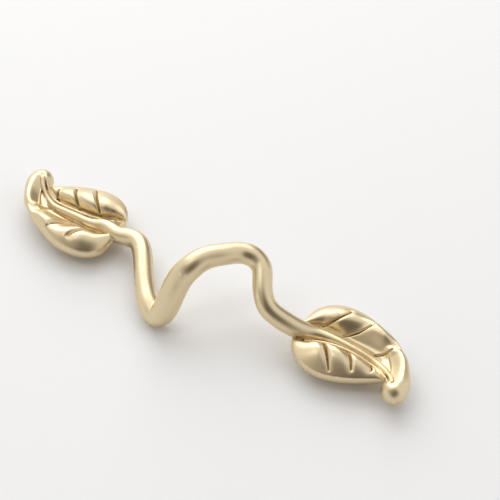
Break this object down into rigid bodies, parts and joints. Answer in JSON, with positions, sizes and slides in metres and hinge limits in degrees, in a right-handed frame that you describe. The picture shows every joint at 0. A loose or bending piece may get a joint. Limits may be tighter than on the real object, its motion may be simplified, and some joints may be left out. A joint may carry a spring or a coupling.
{
  "type": "leaf pull",
  "caption": "Cast cabinet or drawer pull shaped as a bent twig that rises between veined leaves with curled tips; back pads take screws from behind.",
  "frame": {"origin": "centre of the part's outline, on the plane of the drawer front that the back pads bear on", "axes": "+X along the line of the screw holes, +Z away from the drawer front, +Y across the pull"},
  "size_m": [0.1478, 0.037, 0.0264],
  "materials": {
    "gold_metal": "satin champagne gold"
  },
  "bodies": {
    "root": {"leaf_pull": "gold_metal"}
  },
  "joints": []
}
